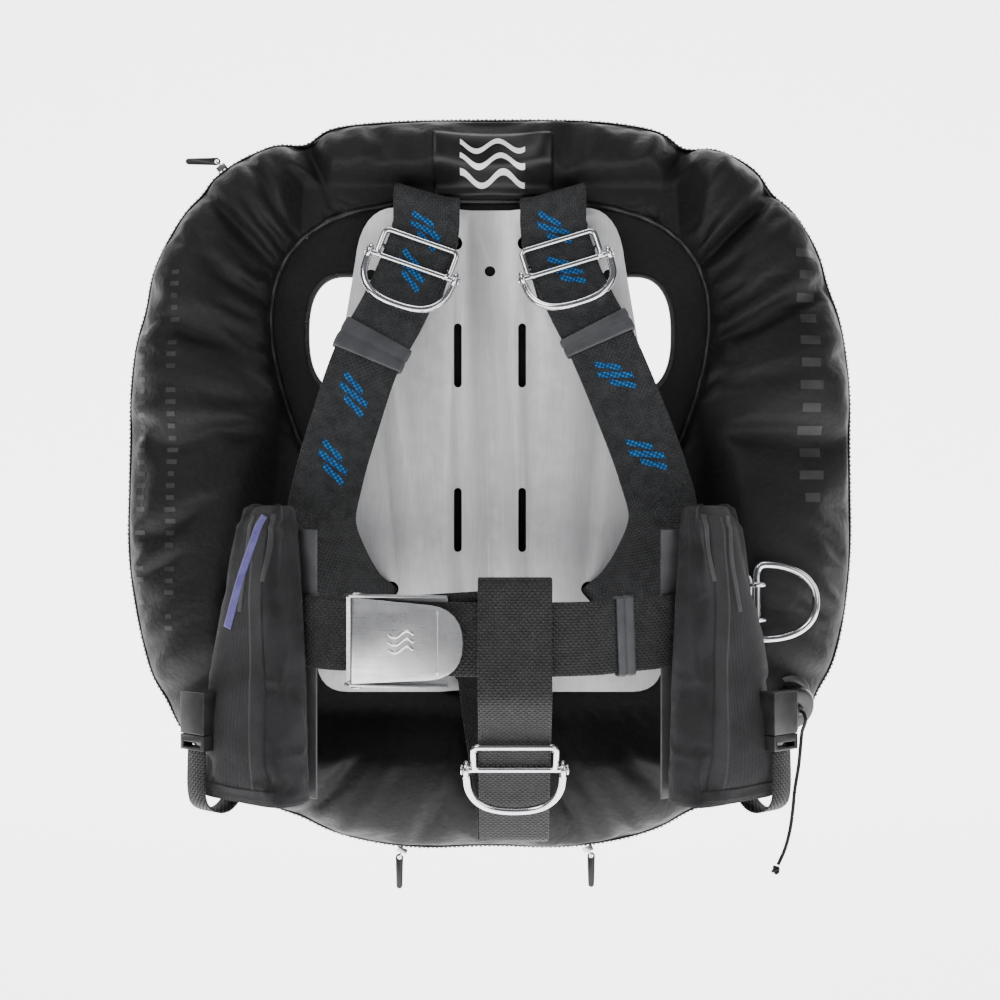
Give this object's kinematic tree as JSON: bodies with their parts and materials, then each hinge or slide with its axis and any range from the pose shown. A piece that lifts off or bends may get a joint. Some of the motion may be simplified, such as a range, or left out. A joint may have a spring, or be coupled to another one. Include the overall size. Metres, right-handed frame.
{
  "type": "buoyancy compensator vest",
  "caption": "Backplate-and-wing buoyancy vest: donut air cell, steel plate, webbing harness with buckle, D-rings and ballast pockets.",
  "frame": {"origin": "tank-side face of the centre panel, midway between the two bolt holes", "axes": "+Y to the tank, -Y to the wearer's back and the buckle, +Z to the shoulders, +X to the wearer's left"},
  "size_m": [0.5684, 0.2235, 0.603],
  "materials": {
    "wing_cloth": "matte coated nylon",
    "bladder_film": "smooth film",
    "zip_tape": "matte",
    "webbing": "woven nylon",
    "pocket_cloth": "woven nylon",
    "cord": "braided",
    "label": "matte",
    "patch": "matte",
    "keeper": "matte",
    "plate": "brushed",
    "hardware": "polished",
    "spring": "satin",
    "black_plastic": "satin"
  },
  "bodies": {
    "harness": {"wing_front_shell": "wing_cloth", "wing_rear_shell": "wing_cloth", "inner_bladder": "bladder_film", "wing_centre_panel": "wing_cloth", "perimeter_zip": "zip_tape", "bolt_grommet_upper": "hardware", "bolt_grommet_lower": "hardware", "backplate": "plate", "shoulder_strap_left": "webbing", "shoulder_slide_left": "hardware", "shoulder_keeper_left": "keeper", "shoulder_strap_right": "webbing", "shoulder_slide_right": "hardware", "shoulder_keeper_right": "keeper", "belt_right": "webbing", "belt_left": "webbing", "belt_keeper": "keeper", "buckle_frame": "hardware", "buckle_pin": "hardware", "crotch_strap": "webbing", "crotch_slide": "hardware", "hip_slide": "hardware", "pocket_sleeve_left": "pocket_cloth", "pocket_backing_left": "black_plastic", "release_socket_left": "black_plastic", "pocket_sleeve_right": "pocket_cloth", "pocket_backing_right": "black_plastic", "release_socket_right": "black_plastic", "pocket_label": "label", "dump_valve_base": "black_plastic", "dump_valve_cap": "black_plastic", "dump_valve_spring": "spring", "inflator_port": "black_plastic", "top_patch": "patch", "zip_slider_top": "hardware", "zip_slider_lower_right": "hardware", "zip_slider_lower_left": "hardware"},
    "shoulder_ring_left_body": {"shoulder_ring_left": "hardware"},
    "shoulder_ring_right_body": {"shoulder_ring_right": "hardware"},
    "crotch_ring_body": {"crotch_ring": "hardware"},
    "hip_ring_body": {"hip_ring": "hardware"},
    "buckle_lever_body": {"buckle_lever": "hardware"},
    "zip_pull_top_body": {"zip_pull_top": "hardware"},
    "zip_pull_lower_right_body": {"zip_pull_lower_right": "hardware"},
    "zip_pull_lower_left_body": {"zip_pull_lower_left": "hardware"},
    "pouch_left_body": {"ballast_pouch_left": "pocket_cloth", "release_plug_left": "black_plastic", "pouch_handle_left": "webbing"},
    "pouch_right_body": {"ballast_pouch_right": "pocket_cloth", "release_plug_right": "black_plastic", "pouch_handle_right": "webbing"},
    "dump_pull_body": {"dump_valve_poppet": "black_plastic", "dump_cord": "cord", "dump_cord_knot": "cord"}
  },
  "joints": [
    {"name": "shoulder_ring_left_hinge", "type": "hinge", "parent": "harness", "child": "shoulder_ring_left_body", "pos_m": [0.05735, -0.04617, 0.13747], "axis": [-0.9573, 0.001, -0.289], "range_deg": [-8, 120]},
    {"name": "shoulder_ring_right_hinge", "type": "hinge", "parent": "harness", "child": "shoulder_ring_right_body", "pos_m": [-0.05861, -0.04617, 0.13781], "axis": [-0.9432, 0.0066, 0.3322], "range_deg": [-4, 120]},
    {"name": "crotch_ring_hinge", "type": "hinge", "parent": "harness", "child": "crotch_ring_body", "pos_m": [0.018, -0.13388, -0.22806], "axis": [-1, 0, 0], "range_deg": [-4, 120]},
    {"name": "hip_ring_hinge", "type": "hinge", "parent": "harness", "child": "hip_ring_body", "pos_m": [0.19925, -0.064, -0.115], "axis": [0, 0, -1], "range_deg": [-8, 60]},
    {"name": "buckle_lever_hinge", "type": "hinge", "parent": "harness", "child": "buckle_lever_body", "pos_m": [-0.09153, -0.1507, -0.136], "axis": [0, 0, -1], "range_deg": [0, 110]},
    {"name": "zip_pull_top_hinge", "type": "hinge", "parent": "harness", "child": "zip_pull_top_body", "pos_m": [-0.21443, -0.0012, 0.22656], "axis": [0, 1, 0], "range_deg": [-20, 80]},
    {"name": "zip_pull_lower_right_hinge", "type": "hinge", "parent": "harness", "child": "zip_pull_lower_right_body", "pos_m": [-0.0711, -0.0012, -0.31941], "axis": [0, 1, 0], "range_deg": [-60, 60]},
    {"name": "zip_pull_lower_left_hinge", "type": "hinge", "parent": "harness", "child": "zip_pull_lower_left_body", "pos_m": [0.0793, -0.0012, -0.31825], "axis": [0, 1, 0], "range_deg": [-60, 60]},
    {"name": "pouch_left_slide", "type": "slide", "parent": "harness", "child": "pouch_left_body", "axis": [0, 0, -1], "range_m": [0, 0.11]},
    {"name": "pouch_right_slide", "type": "slide", "parent": "harness", "child": "pouch_right_body", "axis": [0, 0, -1], "range_m": [0, 0.11]},
    {"name": "dump_pull_slide", "type": "slide", "parent": "harness", "child": "dump_pull_body", "axis": [0.4353, -0.8588, -0.2701], "range_m": [0, 0.005], "stiffness_N_per_m": 400, "springref_m": -0.002, "deforming": ["dump_valve_spring"]}
  ]
}
